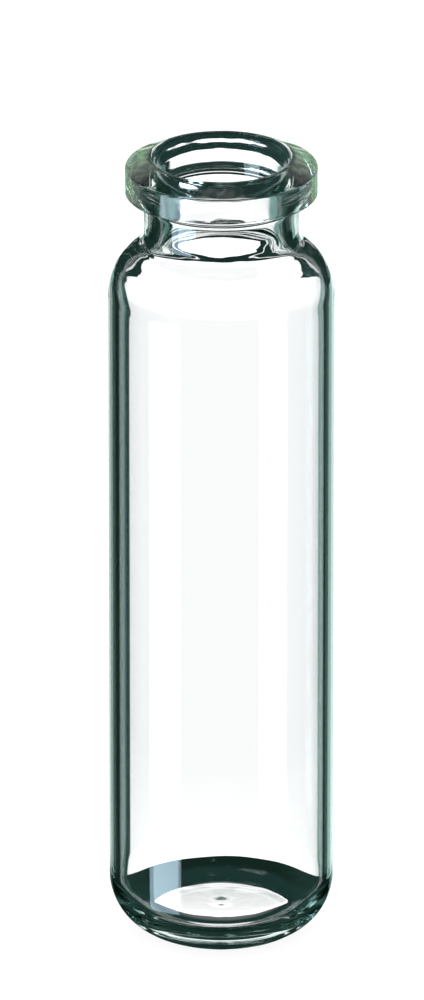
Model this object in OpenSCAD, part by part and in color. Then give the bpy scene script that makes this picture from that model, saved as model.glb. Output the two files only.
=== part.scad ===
// Glass sample vial with a bevelled crimp lip: one piece of clear glass.
// The vial stands on its foot ring at z = 0, with its axis on Z. Sizes are millimetres.

/* [Body] */
// Height from the foot to the top of the lip
height = 85.5; // [70:0.5:100]
// Outside diameter of the straight body
body_d = 23.4; // [22.8:0.1:24]
// Thickness of the straight wall
wall = 1.1; // [0.9:0.05:1.3]

/* [Base] */
// Outside radius of the heel, where the wall turns into the base
heel_r = 6.05; // [5.8:0.05:6.3]
// Inside radius of the same turn
inner_heel_r = 4.2; // [4:0.05:4.5]
// Height of the inside floor's middle above the foot
floor_z = 2.35; // [2:0.05:3]
// Radius of the domed inside floor
floor_dome_r = 45; // [36:1:60]
// Diameter of the ring that the vial stands on, along its middle
foot_ring_d = 14.4; // [14.2:0.1:15]
// Width of the flat on that ring
foot_flat = 0.35; // [0.2:0.05:0.4]
// Rounding of the ring on both sides of the flat
foot_r = 1.1; // [0.8:0.1:1.6]
// Rise of the underside's middle above the foot
push_up = 0.4; // [0.2:0.01:0.45]

/* [Shoulder] */
// Distance from the start of the shoulder to the top of the lip
shoulder_drop = 15; // [14:0.1:17]
// Outside radius of the shoulder
shoulder_r = 6.2; // [5.6:0.1:6.6]
// Outside radius of the hollow where shoulder meets neck
neck_fillet_r = 1.9; // [1.5:0.1:2.2]
// How far above the outside the inside of the shoulder starts
inner_shoulder_rise = 0.05; // [0:0.05:0.5]
// Inside radius of the shoulder
inner_shoulder_r = 4.2; // [3.8:0.05:4.6]
// Inside radius of the bend from shoulder to bore
bore_bend_r = 4.4; // [4:0.1:4.8]

/* [Neck and lip] */
// Outside diameter of the neck
neck_d = 16; // [15.6:0.1:16.4]
// Diameter of the bore through neck and lip
bore_d = 12.6; // [12.4:0.02:12.9]
// Outside diameter of the lip that the crimp cap closes on
lip_d = 19.9; // [19.6:0.1:20.2]
// Height of the lip
lip_h = 3.83; // [3.5:0.01:4.1]
// Height of the bevel round the top of the lip
bevel_h = 1.1; // [0.9:0.05:1.4]
// Width of the bevel, seen from above
bevel_w = 2.5; // [2.2:0.05:2.65]
// Rounding where the bevel meets the side of the lip
bevel_side_r = 0.2; // [0.15:0.05:0.6]
// Rounding where the bevel meets the top of the lip
bevel_top_r = 1.3; // [0.8:0.1:1.6]
// Rounding of the mouth, from the top of the lip into the bore
mouth_r = 0.6; // [0.4:0.05:0.8]
// Rounding under the lip, outside
lip_under_r = 0.3; // [0.15:0.05:0.45]
// Hollow under the lip, where it meets the neck
lip_fillet_r = 0.9; // [0.5:0.05:1]

/* [Hidden] */
$fn = 96;
clear_glass = [0.86, 0.93, 0.91, 0.45];

body_r = body_d / 2;
inner_r = body_r - wall;
neck_r = neck_d / 2;
bore_r = bore_d / 2;
lip_r = lip_d / 2;
shoulder_z = height - shoulder_drop;
inner_shoulder_z = shoulder_z + inner_shoulder_rise;
lip_z = height - lip_h;
past = 1; // how far a cutting shape runs past the glass

// Two arcs that meet without a corner: the angle that both turn through, and
// the height that they take, for a step in radius and the sum of their radii
function bend_angle(step, radii) = acos(1 - step / radii);
function bend_height(step, radii) = radii * sin(bend_angle(step, radii));

// A point on the circle of radius r round centre, at an angle from the X axis
function on_circle(centre, r, angle) = centre + r * [cos(angle), sin(angle)];

// Bend of the outside: shoulder arc, then the fillet into the neck
outer_radii = shoulder_r + neck_fillet_r;
outer_angle = bend_angle(body_r - neck_r, outer_radii);
neck_z = shoulder_z + bend_height(body_r - neck_r, outer_radii);
shoulder_centre = [body_r - shoulder_r, shoulder_z];

// Bend of the inside: shoulder arc, then the bend into the bore
inner_radii = inner_shoulder_r + bore_bend_r;
inner_angle = bend_angle(inner_r - bore_r, inner_radii);
bore_z = inner_shoulder_z + bend_height(inner_r - bore_r, inner_radii);
inner_shoulder_centre = [inner_r - inner_shoulder_r, inner_shoulder_z];

// Inside floor: a dome that the inner heel's arc runs into without a corner
floor_centre_z = floor_z - floor_dome_r;
inner_heel_x = inner_r - inner_heel_r;
floor_reach = floor_dome_r + inner_heel_r;
inner_heel_z = floor_centre_z + sqrt(pow(floor_reach, 2) - pow(inner_heel_x, 2));
floor_edge = [0, floor_centre_z] + [inner_heel_x, inner_heel_z - floor_centre_z]
             * floor_dome_r / floor_reach;

// Heel: its arc runs into the outer rounding of the foot ring without a corner
foot_out = (foot_ring_d + foot_flat) / 2;
foot_in = (foot_ring_d - foot_flat) / 2;
heel_x = body_r - heel_r;
heel_z = foot_r + sqrt(pow(heel_r - foot_r, 2) - pow(foot_out - heel_x, 2));
heel_centre = [heel_x, heel_z];
heel_angle = atan2(foot_r - heel_z, foot_out - heel_x);

// Underside: a hollow dome that the foot ring's inner rounding runs into
under_dome_r = (pow(foot_in, 2) + pow(push_up, 2) - 2 * foot_r * push_up) / (2 * push_up);
under_centre_z = push_up - under_dome_r;
under_edge = [0, under_centre_z] + [foot_in, foot_r - under_centre_z]
             * under_dome_r / (under_dome_r + foot_r);

// Bevel: its slope, and how far each rounding reaches along its two sides
bevel_angle = atan2(bevel_h, bevel_w);
bevel_dir = [cos(bevel_angle), -sin(bevel_angle)];
bevel_side_reach = bevel_side_r * tan((90 - bevel_angle) / 2);
bevel_top_reach = bevel_top_r * tan(bevel_angle / 2);
bevel_low = [lip_r, height - bevel_h];
bevel_high = [lip_r - bevel_w, height];

// Half section of the whole outside, with the foot's flat on z = 0
module outer_section() {
    difference() {
        union() {
            polygon([
                [0, 0],
                [foot_out, 0],
                on_circle(heel_centre, heel_r, heel_angle),
                [body_r, heel_z],
                [body_r, shoulder_z],
                on_circle(shoulder_centre, shoulder_r, outer_angle),
                [neck_r, neck_z],
                [neck_r, lip_z - lip_fillet_r],
                [neck_r + lip_fillet_r, lip_z],
                [lip_r - lip_under_r, lip_z],
                [lip_r, lip_z + lip_under_r],
                bevel_low - [0, bevel_side_reach],
                bevel_low - bevel_side_reach * bevel_dir,
                bevel_high + bevel_top_reach * bevel_dir,
                bevel_high - [bevel_top_reach, 0],
                [0, height]
            ]);
            translate([foot_out, foot_r]) circle(foot_r);
            intersection() {
                translate(heel_centre) circle(heel_r);
                polygon([
                    heel_centre,
                    on_circle(heel_centre, 2 * heel_r, heel_angle),
                    on_circle(heel_centre, 2 * heel_r, heel_angle / 2),
                    on_circle(heel_centre, 2 * heel_r, 0)
                ]);
            }
            translate(shoulder_centre) circle(shoulder_r);
            translate([lip_r - lip_under_r, lip_z + lip_under_r]) circle(lip_under_r);
            translate(bevel_low - [bevel_side_r, bevel_side_reach]) circle(bevel_side_r);
            translate(bevel_high - [bevel_top_reach, bevel_top_r]) circle(bevel_top_r);
        }
        translate([neck_r + neck_fillet_r, neck_z]) circle(neck_fillet_r);
        translate([neck_r + lip_fillet_r, lip_z - lip_fillet_r]) circle(lip_fillet_r);
    }
}

// Half section of the space inside, open at the mouth
module inner_section() {
    difference() {
        union() {
            polygon([
                [0, floor_edge[1]],
                floor_edge,
                [inner_heel_x, inner_heel_z],
                [inner_r, inner_heel_z],
                [inner_r, inner_shoulder_z],
                on_circle(inner_shoulder_centre, inner_shoulder_r, inner_angle),
                [bore_r, bore_z],
                [bore_r, height - mouth_r],
                [bore_r + mouth_r, height],
                [bore_r + mouth_r, height + past],
                [0, height + past]
            ]);
            translate([inner_heel_x, inner_heel_z]) circle(inner_heel_r);
            translate(inner_shoulder_centre) circle(inner_shoulder_r);
        }
        translate([0, floor_centre_z]) circle(floor_dome_r);
        translate([bore_r + bore_bend_r, bore_z]) circle(bore_bend_r);
        translate([bore_r + mouth_r, height - mouth_r]) circle(mouth_r);
    }
}

// Half section of the hollow in the underside
module underside_section() {
    difference() {
        union() {
            polygon([[0, -past], [foot_in, -past], [foot_in, 0], under_edge, [0, under_edge[1]]]);
            intersection() {
                translate([0, under_centre_z]) circle(under_dome_r);
                translate([0, -past]) square([under_edge[0], past + push_up]);
            }
        }
        translate([foot_in, foot_r]) circle(foot_r);
    }
}

module glass_vial() {
    color(clear_glass)
    rotate_extrude()
    intersection() {
        difference() {
            outer_section();
            inner_section();
            underside_section();
        }
        square([body_r, height]);
    }
}

glass_vial();
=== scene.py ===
# Glass sample vial with a bevelled crimp lip: one piece of clear glass, on a pale studio floor.
# It stands at the origin of the CAD model's frame, with its axis on Z. The vial's sizes are given in
# millimetres, and MM turns them into metres. The camera's and the studio's are in metres.
import math

import bpy
import numpy as np
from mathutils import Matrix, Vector


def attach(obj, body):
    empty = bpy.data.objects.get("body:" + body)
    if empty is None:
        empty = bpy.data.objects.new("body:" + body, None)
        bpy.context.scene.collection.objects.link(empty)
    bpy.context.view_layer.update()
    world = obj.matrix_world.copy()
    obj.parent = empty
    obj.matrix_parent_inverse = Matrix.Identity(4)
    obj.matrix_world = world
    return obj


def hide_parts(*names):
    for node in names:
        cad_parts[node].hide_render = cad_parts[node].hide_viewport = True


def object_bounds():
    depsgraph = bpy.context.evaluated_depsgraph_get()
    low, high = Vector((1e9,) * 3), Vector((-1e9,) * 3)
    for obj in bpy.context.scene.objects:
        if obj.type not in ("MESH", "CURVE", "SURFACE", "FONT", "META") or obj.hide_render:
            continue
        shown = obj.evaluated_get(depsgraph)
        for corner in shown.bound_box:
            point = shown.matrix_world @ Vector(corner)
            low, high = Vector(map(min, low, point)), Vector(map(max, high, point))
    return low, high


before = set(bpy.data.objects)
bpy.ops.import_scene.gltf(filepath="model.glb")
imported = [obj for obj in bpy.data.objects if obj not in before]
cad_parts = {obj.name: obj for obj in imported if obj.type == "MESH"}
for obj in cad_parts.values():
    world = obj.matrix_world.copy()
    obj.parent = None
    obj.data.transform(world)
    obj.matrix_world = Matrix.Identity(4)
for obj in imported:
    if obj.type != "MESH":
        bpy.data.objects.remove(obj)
cad_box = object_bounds()
bpy.context.scene.view_settings.view_transform = "Standard"

# --- The camera ---------------------------------------------------------------------------------
# A long lens looks down on the vial from the front, sharp from front to back. The picture is taller
# than it is wide, so the angle of view runs along its height.
MM = 0.001
VIEW_ELEVATION = math.radians(22.2)
VIEW_ANGLE = math.radians(3.494)
VIEW_DISTANCE = 1.7
VIEW_CENTRE = Vector((0, 0, 41.7 * MM))
AIM_POINT = Vector((-0.975 * MM, 0, 47.46 * MM))
SENSOR = 36
CLIP_START, CLIP_END = 0.1, 100

camera_data = bpy.data.cameras.new("camera")
camera_data.sensor_width = SENSOR
camera_data.lens = SENSOR / 2 / math.tan(VIEW_ANGLE / 2)
camera_data.clip_start = CLIP_START
camera_data.clip_end = CLIP_END
camera_data.dof.use_dof = False
camera = bpy.data.objects.new("camera", camera_data)
bpy.context.scene.collection.objects.link(camera)
camera.location = VIEW_CENTRE + VIEW_DISTANCE * Vector(
    (0, -math.cos(VIEW_ELEVATION), math.sin(VIEW_ELEVATION))
)
camera.rotation_mode = "QUATERNION"
camera.rotation_quaternion = (AIM_POINT - camera.location).to_track_quat("-Z", "Y")
bpy.context.scene.camera = camera

# --- The body wall ------------------------------------------------------------------------------
# A length of drawn glass tube, which keeps its diameter and its thickness from the heel up to the
# shoulder. The base, the shoulder and the lip are all formed from the ends of this tube.
HEIGHT = round(cad_box[1][2] / MM, 3)
BODY_R = round(cad_box[1][0] / MM, 3)
WALL = 1.1
INNER_R = BODY_R - WALL


def arc(centre, radius, start, end, step):
    """Points on a circle: the centre plus the radius times the cosine and the sine of an angle, which
    goes from start to end in steps of `step` degrees or a little less."""
    count = max(6, int(abs(end - start) / step) + 1)
    t = np.radians(np.linspace(start, end, count))
    return np.column_stack([centre[0] + radius * np.cos(t), centre[1] + radius * np.sin(t)])


# --- The base -----------------------------------------------------------------------------------
# The tube's lower end, melted shut and rounded. It stands on a narrow ring, with the underside pushed
# up a little inside it. The floor inside is a low dome, with a dimple where the glass closed.
HEEL_R = 6.05
INNER_HEEL_R = 4.25
FLOOR_Z = 2.35
FLOOR_DOME_R = 45.0
PUSH_UP = 0.4
RING_R = 7.2
RING_FLAT = 0.35
FOOT_R = 1.1
DIMPLE_DEPTH = 0.11
DIMPLE_R = 1.05
DIMPLE_BELOW_Z = 10
# Waves of the hand-formed glass. Each has its size, its length along the outline, and the number of
# times that it goes up and down on its way round, below zero where it winds the other way.
HEEL_WAVES = ((0.0015, 6.0, 3), (0.0010, 4.0, -5), (0.0006, 3.0, 9))
FOOT_WAVES = ((0.0040, 5.0, 9), (0.0030, 3.5, -14), (0.0020, 2.6, 23))
# Where the waves lie: from and to, and how far they take to run out past that
HEEL_WAVES_R, HEEL_WAVES_Z = (3, 10.7, 2), (0, 9, 2)
FOOT_WAVES_R, FOOT_WAVES_Z = (3, 9, 2), (-1, 1.5, 1)

heel_x = BODY_R - HEEL_R
foot_out, foot_in = RING_R + RING_FLAT / 2, RING_R - RING_FLAT / 2
heel_z = FOOT_R + math.sqrt((HEEL_R - FOOT_R) ** 2 - (foot_out - heel_x) ** 2)
heel_tilt = math.degrees(math.atan2(FOOT_R - heel_z, foot_out - heel_x))
under_dome_r = (foot_in**2 + PUSH_UP**2 - 2 * FOOT_R * PUSH_UP) / (2 * PUSH_UP)
under_centre = (0, PUSH_UP - under_dome_r)
under_tilt = math.degrees(math.atan2(FOOT_R - under_centre[1], foot_in))

floor_centre = (0, FLOOR_Z - FLOOR_DOME_R)
inner_heel_x = INNER_R - INNER_HEEL_R
inner_heel_z = floor_centre[1] + math.sqrt((FLOOR_DOME_R + INNER_HEEL_R) ** 2 - inner_heel_x**2)
floor_tilt = math.degrees(math.atan2(inner_heel_z - floor_centre[1], inner_heel_x))

base_outside = np.vstack([
    arc(under_centre, under_dome_r, 90, under_tilt, 0.25),
    arc((foot_in, FOOT_R), FOOT_R, under_tilt + 180, 270, 1),
    arc((foot_out, FOOT_R), FOOT_R, -90, heel_tilt, 3),
    arc((heel_x, heel_z), HEEL_R, heel_tilt, 0, 1.5),
])
base_inside = np.vstack([
    arc((inner_heel_x, inner_heel_z), INNER_HEEL_R, 0, floor_tilt - 180, 1.5),
    arc(floor_centre, FLOOR_DOME_R, floor_tilt, 90, 0.4),
])

# --- The shoulder -------------------------------------------------------------------------------
# The tube's upper end, heated and drawn in to the neck, so that the wall keeps about its thickness
# round the bend. The tool that shapes the bore leaves faint rings in the neck.
SHOULDER_Z = 70.5
SHOULDER_R = 6.2
NECK_FILLET_R = 1.9
INNER_SHOULDER_R = 4.2
INNER_SHOULDER_Z = 70.55
BORE_BEND_R = 4.4
NECK_R = 8.0
BORE_R = 6.3
NECK_WAVES = (
    (0.0040, 2.1, 2), (0.0035, 1.6, -3), (0.0030, 2.7, 5),
    (0.0025, 1.2, -8), (0.0010, 0.55, 13), (0.0010, 0.7, -17),
)
NECK_WAVES_Z = (73, 79, 2)
TOOL_RINGS_Z = 78.2
TOOL_RING_SIZE = 0.017
TOOL_RING_LENGTH = 2.11
TOOL_RING_PHASE = 3.97
TOOL_RINGS_IN = 0.8
TOOL_RINGS_KEPT = 4.1
TOOL_RINGS_OUT = 1.2


def bend(step, radii):
    """The angle that two arcs turn through if they meet without a corner, and the height that they
    take. The angle's cosine is 1 less the step in radius over the sum of the radii, and the height is
    that sum times the angle's sine."""
    angle = math.acos(1 - step / radii)
    return math.degrees(angle), radii * math.sin(angle)


outer_angle, outer_rise = bend(BODY_R - NECK_R, SHOULDER_R + NECK_FILLET_R)
neck_z = SHOULDER_Z + outer_rise
inner_angle, inner_rise = bend(INNER_R - BORE_R, INNER_SHOULDER_R + BORE_BEND_R)
bore_z = INNER_SHOULDER_Z + inner_rise
shoulder_outside = np.vstack([
    arc((BODY_R - SHOULDER_R, SHOULDER_Z), SHOULDER_R, 0, outer_angle, 1.5),
    arc((NECK_R + NECK_FILLET_R, neck_z), NECK_FILLET_R, outer_angle + 180, 180, 4),
])
shoulder_inside = np.vstack([
    arc((BORE_R + BORE_BEND_R, bore_z), BORE_BEND_R, 180, 180 + inner_angle, 2),
    arc((INNER_R - INNER_SHOULDER_R, INNER_SHOULDER_Z), INNER_SHOULDER_R, inner_angle, 0, 1.5),
])

# --- The lip ------------------------------------------------------------------------------------
# The mouth, thickened and pressed to a crimp finish: an upright side, a sloping bevel on top of it,
# and a rounded mouth with a shallow hollow under the rounding.
LIP_R = 9.95
LIP_H = 3.93
BEVEL_H = 1.04
BEVEL_W = 2.34
BEVEL_SIDE_R = 0.2
BEVEL_TOP_R = 0.26
LIP_UNDER_R = 0.22
LIP_FILLET_R = 1.28
MOUTH_W = 1.0
MOUTH_H = 1.65
MOUTH_POWER = 1.62
HOLLOW = 0.17
HOLLOW_DEPTH = 0.96
HOLLOW_REACH = 0.5
LIP_WAVES = (
    (0.0050, 2.4, 9), (0.0040, 1.7, -13), (0.0030, 1.3, 19), (0.0015, 0.8, -27), (0.0040, 3.1, -6),
)
LIP_WAVES_Z = (82, 85.5, 0.3)
# The waves' crests would pass the lip's real size, so the lip is drawn back by this much
LIP_DRAWN_BACK = 0.018

lip_z = HEIGHT - LIP_H
bevel_tilt = math.degrees(math.atan2(BEVEL_H, BEVEL_W))
side_reach = BEVEL_SIDE_R * math.tan(math.radians((90 - bevel_tilt) / 2))
top_reach = BEVEL_TOP_R * math.tan(math.radians(bevel_tilt / 2))
lip_outside = np.vstack([
    arc((NECK_R + LIP_FILLET_R, lip_z - LIP_FILLET_R), LIP_FILLET_R, 180, 90, 6),
    arc((LIP_R - LIP_UNDER_R, lip_z + LIP_UNDER_R), LIP_UNDER_R, -90, 0, 6),
    arc((LIP_R - BEVEL_SIDE_R, HEIGHT - BEVEL_H - side_reach), BEVEL_SIDE_R, 0, 90 - bevel_tilt, 3),
    arc((LIP_R - BEVEL_W - top_reach, HEIGHT - BEVEL_TOP_R), BEVEL_TOP_R, 90 - bevel_tilt, 90, 3),
])
# A quarter of a superellipse: the cosine and the sine of the angle, each to the power 2 / MOUTH_POWER
quarter = arc((0, 0), 1, 90, 180, 3)
quarter = np.sign(quarter) * np.abs(quarter) ** (2 / MOUTH_POWER)
mouth_inside = quarter * (MOUTH_W, MOUTH_H) + (BORE_R + MOUTH_W, HEIGHT - MOUTH_H)

# --- The vial -----------------------------------------------------------------------------------
# The whole piece of glass. Its outline runs from the middle of the underside, over the lip and down
# to the middle of the floor inside. A flame has rounded all of it, and the heated shoulder most.
SIDES = 192
RINGS = 500
FINE_STEP = 0.02
FLAME_REACH = 0.1
SHOULDER_REACH = 0.45
SOFT_Z = 69.5
SOFT_SPAN = 8.0
# The outline's turning is smoothed over this many fine steps, and counts as this much at least
BEND_STEPS = 31
LEAST_TURNING = 0.02
EVEN_SHARE = 0.016


def followed(outline):
    """The way along an outline to each of its points, which is the sum of the steps before it, and
    the outline's direction there, which is the difference of the points on both sides over its
    length."""
    way = np.concatenate([[0], np.cumsum(np.linalg.norm(np.diff(outline, axis=0), axis=1))])
    along = np.gradient(outline, axis=0)
    along /= np.linalg.norm(along, axis=1)[:, None]
    return way, along


def facing_out(along):
    """The outline's normal, out of the glass: its direction turned by a right angle."""
    return np.column_stack([along[:, 1], -along[:, 0]])


def inside(outline):
    """True past the outline's highest point, where it has gone over the lip."""
    return np.arange(len(outline)) > np.argmax(outline[:, 1])


def flamed(outline, reach):
    """The outline as a flame leaves it: at each fine step along it, the mean of the outline round
    there, weighted by the exponential of minus half the squared distance in reaches. It is mirrored
    past its two ends, which stay on the axis."""
    step = np.linalg.norm(np.diff(outline, axis=0), axis=1)
    outline = outline[np.concatenate([[True], step > 1e-9])]
    way, _ = followed(outline)
    fine = np.linspace(0, way[-1], int(way[-1] / FINE_STEP) + 1)
    line = np.column_stack([np.interp(fine, way, outline[:, i]) for i in (0, 1)])
    more = int(4 * reach / fine[1]) + 1
    before, after = line[more:0:-1] * (-1, 1), line[-2:-more - 2:-1] * (-1, 1)
    line = np.vstack([before, line, after])
    weight = np.exp(-0.5 * (np.arange(-more, more + 1) * fine[1] / reach) ** 2)
    weight /= weight.sum()
    line = np.column_stack([np.convolve(line[:, i], weight, "valid") for i in (0, 1)])
    line[[0, -1], 0] = 0
    return line


def tool_rings(outline):
    """The faint rings in the neck: along the outline's normal, a sine of the way past TOOL_RINGS_Z. It
    comes in over TOOL_RINGS_IN and fades out exponentially past TOOL_RINGS_KEPT."""
    way, along = followed(outline)
    inner, z = inside(outline), outline[:, 1]
    s = way - way[inner & (z < TOOL_RINGS_Z)][0]
    fade = np.clip(s / TOOL_RINGS_IN, 0, 1) * inner * (z > HEIGHT / 2)
    fade = fade * np.exp(-np.clip(s - TOOL_RINGS_KEPT, 0, None) / TOOL_RINGS_OUT)
    rings = TOOL_RING_SIZE * np.sin(2 * math.pi * s / TOOL_RING_LENGTH + TOOL_RING_PHASE)
    return outline + (fade * rings)[:, None] * facing_out(along)


def spaced(outline, count):
    """`count` points along the outline, closer together where it bends: their density is the root of
    the sum of the squares of its turning per millimetre and of the least turning, plus an even
    share."""
    way, along = followed(outline)
    heading = np.unwrap(np.arctan2(along[:, 1], along[:, 0]))
    turning = np.convolve(np.abs(np.gradient(heading, way)), np.ones(BEND_STEPS) / BEND_STEPS, "same")
    density = np.sqrt(turning**2 + LEAST_TURNING**2) + EVEN_SHARE
    need = np.concatenate([[0], np.cumsum((density[1:] + density[:-1]) / 2 * np.diff(way))])
    at = np.interp(np.linspace(0, need[-1], count), need, way)
    return np.column_stack([np.interp(at, way, outline[:, i]) for i in (0, 1)])


outline = np.vstack(
    [base_outside, shoulder_outside, lip_outside, mouth_inside, shoulder_inside, base_inside]
)
crisp, soft = flamed(outline, FLAME_REACH), flamed(outline, SHOULDER_REACH)
near_shoulder = np.clip(1 - np.abs(crisp[:, 1:] - SOFT_Z) / SOFT_SPAN, 0, 1)
outline = crisp + (soft - crisp) * np.clip(2 * near_shoulder, 0, 1)

inner = inside(outline)
dimple = np.exp(-(outline[:, 0] / DIMPLE_R) ** 2) * inner * (outline[:, 1] < DIMPLE_BELOW_Z)
outline[:, 1] -= DIMPLE_DEPTH * dimple
hollow = np.exp(-((outline[:, 1] - HEIGHT + HOLLOW_DEPTH) / HOLLOW_REACH) ** 2) * inner
outline[:, 0] += HOLLOW * hollow
outline = spaced(tool_rings(outline), RINGS)


def over(value, low, high, soft):
    """1 from low to high, running out to 0 in a straight line over `soft` on either side."""
    return np.clip(np.minimum(value - low, high - value) / soft + 1, 0, 1)


def uneven(way, angle, waves, seed):
    """The unevenness of hand-formed glass: the sum of the waves, each the sine of its turns along the
    way and round the axis, with a phase of its own."""
    phases = np.random.default_rng(seed).uniform(0, 2 * math.pi, len(waves))
    return sum(
        size * np.sin(2 * math.pi * way[:, None] / length + turns * angle[None, :] + phase)
        for (size, length, turns), phase in zip(waves, phases)
    )


def ring_faces(rings, sides):
    """Four-cornered faces between rings of points: a point, the next one round, and the two that lie
    beside them on the next ring."""
    here = np.arange((rings - 1) * sides).reshape(-1, sides)
    after = np.roll(here, -1, axis=1)
    return np.stack([here, after, after + sides, here + sides], axis=-1).reshape(-1, 4)


def made(name, points, faces):
    """An object at the origin, from its points in metres and its faces."""
    mesh = bpy.data.meshes.new(name)
    mesh.from_pydata(points, [], faces)
    thing = bpy.data.objects.new(name, mesh)
    bpy.context.scene.collection.objects.link(thing)
    return thing


def turned(name, outline, angle, shift):
    """A solid of revolution. Each point of the outline is moved along its normal by the shift at that
    angle, and then goes to its radius times the cosine and the sine of the angle, and its height.
    The outline starts and ends on the axis, where one point closes the mesh."""
    _, along = followed(outline)
    sides = len(angle)
    ring = outline[1:-1, :, None] + facing_out(along)[1:-1, :, None] * shift[1:-1, None, :]
    r, z = ring[:, 0], ring[:, 1]
    grid = np.stack([r * np.cos(angle), r * np.sin(angle), z], axis=-1).reshape(-1, 3)
    poles = np.array([[0, 0, outline[0, 1]], [0, 0, outline[-1, 1]]])
    here, after = np.arange(sides), np.roll(np.arange(sides), -1)
    last_ring = len(grid) - sides
    under = np.stack([after, here, np.full(sides, len(grid))], axis=-1)
    floor = np.stack([last_ring + here, last_ring + after, np.full(sides, len(grid) + 1)], axis=-1)
    faces = ring_faces(len(ring), sides).tolist() + under.tolist() + floor.tolist()
    return made(name, (np.vstack([grid, poles]) * MM).tolist(), faces)


angle = np.arange(SIDES) * 2 * math.pi / SIDES
way, _ = followed(outline)
inner, r, z = inside(outline), outline[:, 0], outline[:, 1]
at_neck = over(z, *NECK_WAVES_Z) * inner
at_lip = over(z, *LIP_WAVES_Z)
at_heel = over(r, *HEEL_WAVES_R) * over(z, *HEEL_WAVES_Z) * inner
at_foot = over(r, *FOOT_WAVES_R) * over(z, *FOOT_WAVES_Z) * ~inner
shift = at_neck[:, None] * uneven(way, angle, NECK_WAVES, 1)
shift += at_lip[:, None] * (uneven(way, angle, LIP_WAVES, 2) - LIP_DRAWN_BACK)
shift += at_heel[:, None] * uneven(way, angle, HEEL_WAVES, 3)
shift += at_foot[:, None] * uneven(way, angle, FOOT_WAVES, 4)
vial = turned("vial_glass", outline, angle, shift)
vial.data.shade_smooth()
vial.data.validate()

# The glass is clear, with a slight green in its depth. The pressed lip has a light haze. Its outside
# has a painted milky green sheen in patches where it is seen at a flat angle, which stands in for the
# light that turns inside the lip.
GLASS_IOR = 1.5
GLASS_GREEN = (0.80, 0.92, 0.86)
GLASS_DENSITY = 20.0
PRESSED_FROM, PRESSED_FULL = 81.4, 82.2
MOTTLE_SCALE = 1400
MOTTLE_DETAIL = 2
HAZE_MOTTLE = (0.35, 0.7)
LIP_HAZE = (0.03, 0.12)
# The painted sheen: how much transmission it takes away at most, its colour, the radii where it starts
# and is full, the flat angles it covers, and the mottle with its least share
PAINTED_SHEEN = 0.55
PAINTED_SHEEN_COLOUR = (0.50, 0.92, 0.48)
SHEEN_FROM_R, SHEEN_FULL_R = 7.2, 8.0
SHEEN_GRAZING = (0.38, 0.8)
SHEEN_MOTTLE = (0.42, 0.58)
SHEEN_LEAST = 0.55


def emptied(owner):
    """The node tree of a material or a world, with nothing in it."""
    owner.use_nodes = True
    owner.node_tree.nodes.clear()
    return owner.node_tree


def add(tree, kind, inputs=(), **settings):
    """A new node with its settings. Each input gets a number, a colour, or another node's output."""
    node = tree.nodes.new("ShaderNode" + kind)
    for name, value in settings.items():
        setattr(node, name, value)
    for name, value in dict(inputs).items():
        socket = node.inputs[name]
        if isinstance(value, bpy.types.NodeSocket):
            tree.links.new(value, socket)
        elif socket.type == "RGBA":
            socket.default_value = (*value, 1)
        else:
            socket.default_value = value
    return node


def calc(tree, operation, *values):
    """A Math node: the operation on the values, each a number or another node's output."""
    return add(tree, "Math", enumerate(values), operation=operation).outputs[0]


def ramp(tree, value, low, high, first=0.0, last=1.0, kind="LINEAR"):
    """`first` where the value is below low, `last` where it is above high, and between them a straight
    line, or a smooth one."""
    ends = {"From Min": low, "From Max": high, "To Min": first, "To Max": last}
    return add(tree, "MapRange", {"Value": value, **ends}, interpolation_type=kind).outputs[0]


def lay(tree, under, cover, share):
    """The colour `under` where the share is 0, `cover` where it is 1, and their mix in between."""
    return add(tree, "Mix", {"Factor": share, 6: under, 7: cover}, data_type="RGBA").outputs[2]


glass = bpy.data.materials.new("clear_glass")
tree = emptied(glass)
place = add(tree, "TexCoord").outputs["Object"]
height = add(tree, "SeparateXYZ", {"Vector": place}).outputs["Z"]
level = add(tree, "VectorMath", {0: place, 1: (1, 1, 0)}, operation="MULTIPLY").outputs[0]
from_axis = add(tree, "VectorMath", {0: level}, operation="LENGTH").outputs["Value"]
pressed = ramp(tree, height, PRESSED_FROM * MM, PRESSED_FULL * MM, kind="SMOOTHSTEP")
outer = ramp(tree, from_axis, SHEEN_FROM_R * MM, SHEEN_FULL_R * MM, kind="SMOOTHSTEP")

mottle = add(tree, "TexNoise", {"Vector": place, "Scale": MOTTLE_SCALE, "Detail": MOTTLE_DETAIL})
mottle = mottle.outputs["Fac"]
haze = calc(tree, "MULTIPLY", pressed, ramp(tree, mottle, *HAZE_MOTTLE, *LIP_HAZE))
# Painted sheen: a milky green diffuse share, greatest where the lip's outer side is seen at a flat
# angle, standing in for light inside the lip
grazing = add(tree, "LayerWeight", {"Blend": 0.5}).outputs["Facing"]
grazing_sheen = ramp(tree, grazing, *SHEEN_GRAZING, kind="SMOOTHSTEP")
patches = ramp(tree, mottle, *SHEEN_MOTTLE, SHEEN_LEAST)
painted_sheen = calc(
    tree, "MULTIPLY", calc(tree, "MULTIPLY", grazing_sheen, patches), calc(tree, "MULTIPLY", outer, pressed)
)
shader = add(tree, "BsdfPrincipled", {
    "Base Color": lay(tree, (1, 1, 1), PAINTED_SHEEN_COLOUR, painted_sheen),
    "Roughness": haze,
    "IOR": GLASS_IOR,
    "Transmission Weight": ramp(tree, painted_sheen, 0, 1, 1.0, 1 - PAINTED_SHEEN),
})
absorb = add(tree, "VolumeAbsorption", {"Color": GLASS_GREEN, "Density": GLASS_DENSITY})
add(tree, "OutputMaterial", {"Surface": shader.outputs[0], "Volume": absorb.outputs[0]})
vial.data.materials.append(glass)
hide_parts("glass_vial")
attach(vial, "root")

# --- The floor ----------------------------------------------------------------------------------
# A pale table. It glows just enough to be seen as white, and keeps the vial's faint shadow. The glass
# neither mirrors it nor shows it: glass has only the studio's own light. It lies a hair under the
# vial's foot.
FLOOR_SIZE = 6.0
FLOOR_DROP = 0.02
FLOOR_GREY = (0.2, 0.2, 0.2)
FLOOR_GLOW = 0.92

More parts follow.
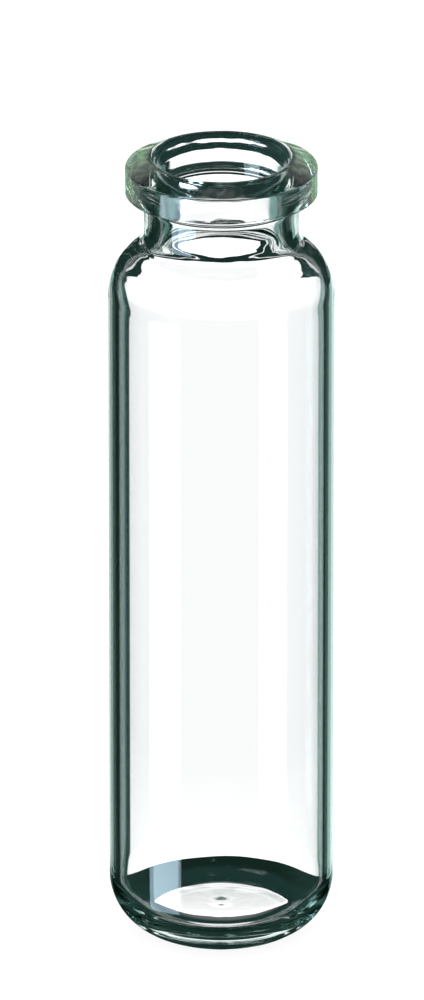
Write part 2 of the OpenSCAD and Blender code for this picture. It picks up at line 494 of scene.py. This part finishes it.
half = FLOOR_SIZE / 2
corners = [(-half, -half), (half, -half), (half, half), (-half, half)]
floor = made("studio_floor", [(x, y, -FLOOR_DROP * MM) for x, y in corners], [(0, 1, 2, 3)])
floor.visible_glossy = False
floor.visible_transmission = False
floor_paint = bpy.data.materials.new("white_floor")
tree = emptied(floor_paint)
matt = add(tree, "BsdfDiffuse", {"Color": FLOOR_GREY})
glow = add(tree, "Emission", {"Strength": FLOOR_GLOW})
both = add(tree, "AddShader", {0: matt.outputs[0], 1: glow.outputs[0]})
add(tree, "OutputMaterial", {"Surface": both.outputs[0]})
floor.data.materials.append(floor_paint)

# --- The shine under the vial -------------------------------------------------------------------
# The part of the table right under the vial, whose light the vial's floor gathers. It is a flat
# oval that fades out at its rim, and only rays that have come through the glass see it.
SHINE = 0.19
SHINE_X, SHINE_Y = 6.9, 5.2
SHINE_RINGS = (0, 0.6, 0.8, 1)
SHINE_SHARES = (1, 1, 0.8, 0)
SHINE_SIDES = 48

shine_angle = np.arange(SHINE_SIDES) * 2 * math.pi / SHINE_SIDES
rim = np.stack([SHINE_X * np.cos(shine_angle), SHINE_Y * np.sin(shine_angle), 0 * shine_angle], axis=-1)
shine_points = np.array(SHINE_RINGS)[:, None, None] * rim - (0, 0, FLOOR_DROP / 2)
shine = made(
    "studio_shine",
    (shine_points.reshape(-1, 3) * MM).tolist(),
    ring_faces(len(SHINE_RINGS), SHINE_SIDES).tolist(),
)
share = shine.data.attributes.new("share", "FLOAT", "POINT")
share.data.foreach_set("value", np.repeat(SHINE_SHARES, SHINE_SIDES).astype(float))
shine.visible_camera = False
shine.visible_diffuse = False
shine.visible_glossy = False
shine.visible_shadow = False
shine_paint = bpy.data.materials.new("white_shine")
tree = emptied(shine_paint)
share_here = add(tree, "Attribute", attribute_name="share").outputs["Fac"]
clear = add(tree, "BsdfTransparent")
glow = add(tree, "Emission", {"Strength": calc(tree, "MULTIPLY", share_here, SHINE)})
both = add(tree, "AddShader", {0: clear.outputs[0], 1: glow.outputs[0]})
add(tree, "OutputMaterial", {"Surface": both.outputs[0]})
shine.data.materials.append(shine_paint)

# --- The back panel -----------------------------------------------------------------------------
# A white panel far behind the vial and lower than the table, between darker strips of card. It makes
# the body bright and draws its edges dark. The strips' colours run from left to right.
PANEL_AWAY = 1.436
PANEL_EDGES = (-24.5, -16.4, -13.3, -12.2, 16.4, 17.6, 29.5)
PANEL_COLOURS = (
    (0.09, 0.19, 0.165), (0.01, 0.02, 0.02), (0.05, 0.07, 0.07),
    (1, 1, 1), (0.5, 0.6, 0.6), (0.21, 0.36, 0.34),
)
PANEL_HEIGHTS = (-0.776, -0.63, -0.59, -0.49, -0.45, -0.181)
PANEL_GAINS = (1.25, 1.22, 1.0, 1.0, 1.22, 1.25)
# Light that a surface has mirrored has the second of these whites, which no real panel could do
WHITE = (1.13, 1.14, 1.145)
WHITE_MIRRORED = (1.0, 1.12, 1.09)

across = PANEL_AWAY * np.tan(np.radians(PANEL_EDGES))
x, z = np.meshgrid(across, PANEL_HEIGHTS)
panel_points = np.stack([x, np.full_like(x, PANEL_AWAY), z], axis=-1)
corner = np.arange(x.size).reshape(x.shape)
strips = np.stack([corner[:-1, :-1], corner[:-1, 1:], corner[1:, 1:], corner[1:, :-1]], axis=-1)
back_panel = made(
    "studio_panel", panel_points.reshape(-1, 3).tolist(), strips.reshape(-1, 4).tolist()
)
light = back_panel.data.attributes.new("light", "FLOAT_VECTOR", "FACE")
light.data.foreach_set("vector", np.tile(np.ravel(PANEL_COLOURS), len(PANEL_HEIGHTS) - 1))
gain = back_panel.data.attributes.new("gain", "FLOAT", "POINT")
gain.data.foreach_set("value", np.repeat(PANEL_GAINS, len(PANEL_EDGES)))
back_panel.visible_camera = False
back_panel.visible_diffuse = False
back_panel.visible_shadow = False
panel_paint = bpy.data.materials.new("white_panel")
tree = emptied(panel_paint)
path = add(tree, "LightPath")
mirrored = calc(tree, "MINIMUM", path.outputs["Glossy Depth"], 1.0)
white = lay(tree, WHITE, WHITE_MIRRORED, mirrored)
strip = add(tree, "Attribute", attribute_name="light").outputs["Vector"]
gain_here = add(tree, "Attribute", attribute_name="gain").outputs["Fac"]
colour = add(tree, "VectorMath", {0: white, 1: strip}, operation="MULTIPLY").outputs[0]
glow = add(tree, "Emission", {"Color": colour, "Strength": gain_here})
add(tree, "OutputMaterial", {"Surface": glow.outputs[0]})
back_panel.data.materials.append(panel_paint)

# --- The studio ---------------------------------------------------------------------------------
# Bright-field light for glass, with dark screens all round, a softbox at the front left, a small
# light above and more white panels. Only the glass shows them, and all else is in a white room.
# The glass looks clear only where the view through it ends on a white panel. There is one for the
# main view, and for the views 0,3; 45,25; 90,3; 225,15 and from 60 degrees up. From most other
# sides the glass looks dark, so this is no light to judge the vial by from all round.
# A direction is an azimuth, which is 0 straight behind the vial, and an elevation.
DARK = (0.006, 0.017, 0.012)
GREY = (0.05, 0.12, 0.105)
TEAL = (0.011, 0.034, 0.030)
FRONT = (0.011, 0.028, 0.025)
HIGH = (0.010, 0.028, 0.024)
SKY = (0.02, 0.045, 0.04)
TOP_LIGHT = (2.6, 2.8, 3.0)
SOFTBOX = (4.5, 6.2, 7.2)
# Each of these is from, to, and how soft its edges are
GREY_SIDES = (60, 100, 20)
TEAL_HEIGHTS = (-55, -31.5, 2)
HIGH_SIDES, HIGH_HEIGHTS = (-1, 50, 10), (-9, 44, 4)
TOP_LIGHT_SIDES, TOP_LIGHT_HEIGHTS = (-60, -34, 6), (60, 76, 5)
# The slit is the white behind the vial in the view 0,3
SLIT_SIDES, SLIT_HEIGHTS = (PANEL_EDGES[2], PANEL_EDGES[4], 1.0), (-4.5, -1.5, 0.5)
BELOW_HEIGHTS = (-66, -57, 3)
SOFTBOX_SIDES, SOFTBOX_HEIGHTS = (-135, -101, 2), (-31, -16, 2)
FRONT_FROM, FRONT_FULL = 90, 110
SKY_FROM, SKY_FULL = 38, 50
# The far panels for the views 45,25; 225,15 and 90,3, each with the azimuth of its middle, and its
# lowest and highest elevation. Light that a surface has mirrored passes them by.
FAR_PANELS = ((-45, -28.4, -23.6), (135, -19, -11), (-90, -6, 1))
FAR_HALF_WIDTH = 13
# The white below is a band about 60 degrees down, all round, for the view from 60 degrees up. It
# counts only for light that has passed more faces of the glass than this.
BELOW_LEAST_DEPTH = 3.5
MOST_BOUNCES = 48


def between(tree, value, low, high, soft):
    """1 between low and high and 0 outside, with a smooth step as wide as `soft` at each end."""
    rise = ramp(tree, value, low - soft / 2, low + soft / 2, kind="SMOOTHSTEP")
    fall = ramp(tree, value, high - soft / 2, high + soft / 2, kind="SMOOTHSTEP")
    return calc(tree, "MULTIPLY", rise, calc(tree, "SUBTRACT", 1.0, fall))


world = bpy.data.worlds.new("studio")
bpy.context.scene.world = world
tree = emptied(world)
direction = add(tree, "SeparateXYZ", {"Vector": add(tree, "TexCoord").outputs["Generated"]})
east, north, up = direction.outputs
azimuth = calc(tree, "MULTIPLY", calc(tree, "ARCTAN2", east, north), 180 / math.pi)
elevation = calc(tree, "MULTIPLY", calc(tree, "ARCSINE", up), 180 / math.pi)
side_on = calc(tree, "ABSOLUTE", azimuth)
path = add(tree, "LightPath")
mirrored = calc(tree, "MINIMUM", path.outputs["Glossy Depth"], 1.0)
unmirrored = calc(tree, "SUBTRACT", 1.0, mirrored)


def window(sides, heights):
    """1 in the part of the studio between two azimuths and two elevations, and 0 outside it."""
    return calc(
        tree, "MULTIPLY", between(tree, azimuth, *sides), between(tree, elevation, *heights)
    )


high = calc(
    tree, "MULTIPLY", between(tree, side_on, *HIGH_SIDES), between(tree, elevation, *HIGH_HEIGHTS)
)
light = lay(tree, DARK, GREY, between(tree, side_on, *GREY_SIDES))
light = lay(tree, light, TEAL, between(tree, elevation, *TEAL_HEIGHTS))
light = lay(tree, light, FRONT, ramp(tree, side_on, FRONT_FROM, FRONT_FULL, kind="SMOOTHSTEP"))
light = lay(tree, light, HIGH, high)
light = lay(tree, light, SKY, ramp(tree, elevation, SKY_FROM, SKY_FULL, kind="SMOOTHSTEP"))
light = lay(tree, light, TOP_LIGHT, window(TOP_LIGHT_SIDES, TOP_LIGHT_HEIGHTS))
panel = window(SLIT_SIDES, SLIT_HEIGHTS)
for middle, lowest, highest in FAR_PANELS:
    sides = (middle - FAR_HALF_WIDTH, middle + FAR_HALF_WIDTH, 1.0)
    far = calc(tree, "MULTIPLY", window(sides, (lowest, highest, 0.5)), unmirrored)
    panel = calc(tree, "MAXIMUM", panel, far)
deep = calc(tree, "GREATER_THAN", path.outputs["Transmission Depth"], BELOW_LEAST_DEPTH)
below = calc(tree, "MULTIPLY", between(tree, elevation, *BELOW_HEIGHTS), unmirrored)
panel = calc(tree, "MAXIMUM", panel, calc(tree, "MULTIPLY", below, deep))
light = lay(tree, light, WHITE, panel)
light = lay(tree, light, SOFTBOX, window(SOFTBOX_SIDES, SOFTBOX_HEIGHTS))

studio_light = add(tree, "Background", {"Color": light})
white_room = add(tree, "Background", {"Color": (1, 1, 1)})
for_glass = calc(
    tree, "MAXIMUM", path.outputs["Is Glossy Ray"], path.outputs["Is Transmission Ray"]
)
seen = add(tree, "MixShader", {0: for_glass, 1: white_room.outputs[0], 2: studio_light.outputs[0]})
add(tree, "OutputWorld", {"Surface": seen.outputs[0]})

# Light turns many times inside the glass before it comes out, so it is followed that far
cycles = bpy.context.scene.cycles
cycles.max_bounces = MOST_BOUNCES
cycles.transmission_bounces = MOST_BOUNCES
cycles.glossy_bounces = MOST_BOUNCES
cycles.diffuse_bounces = 2
cycles.caustics_reflective = False
cycles.caustics_refractive = False
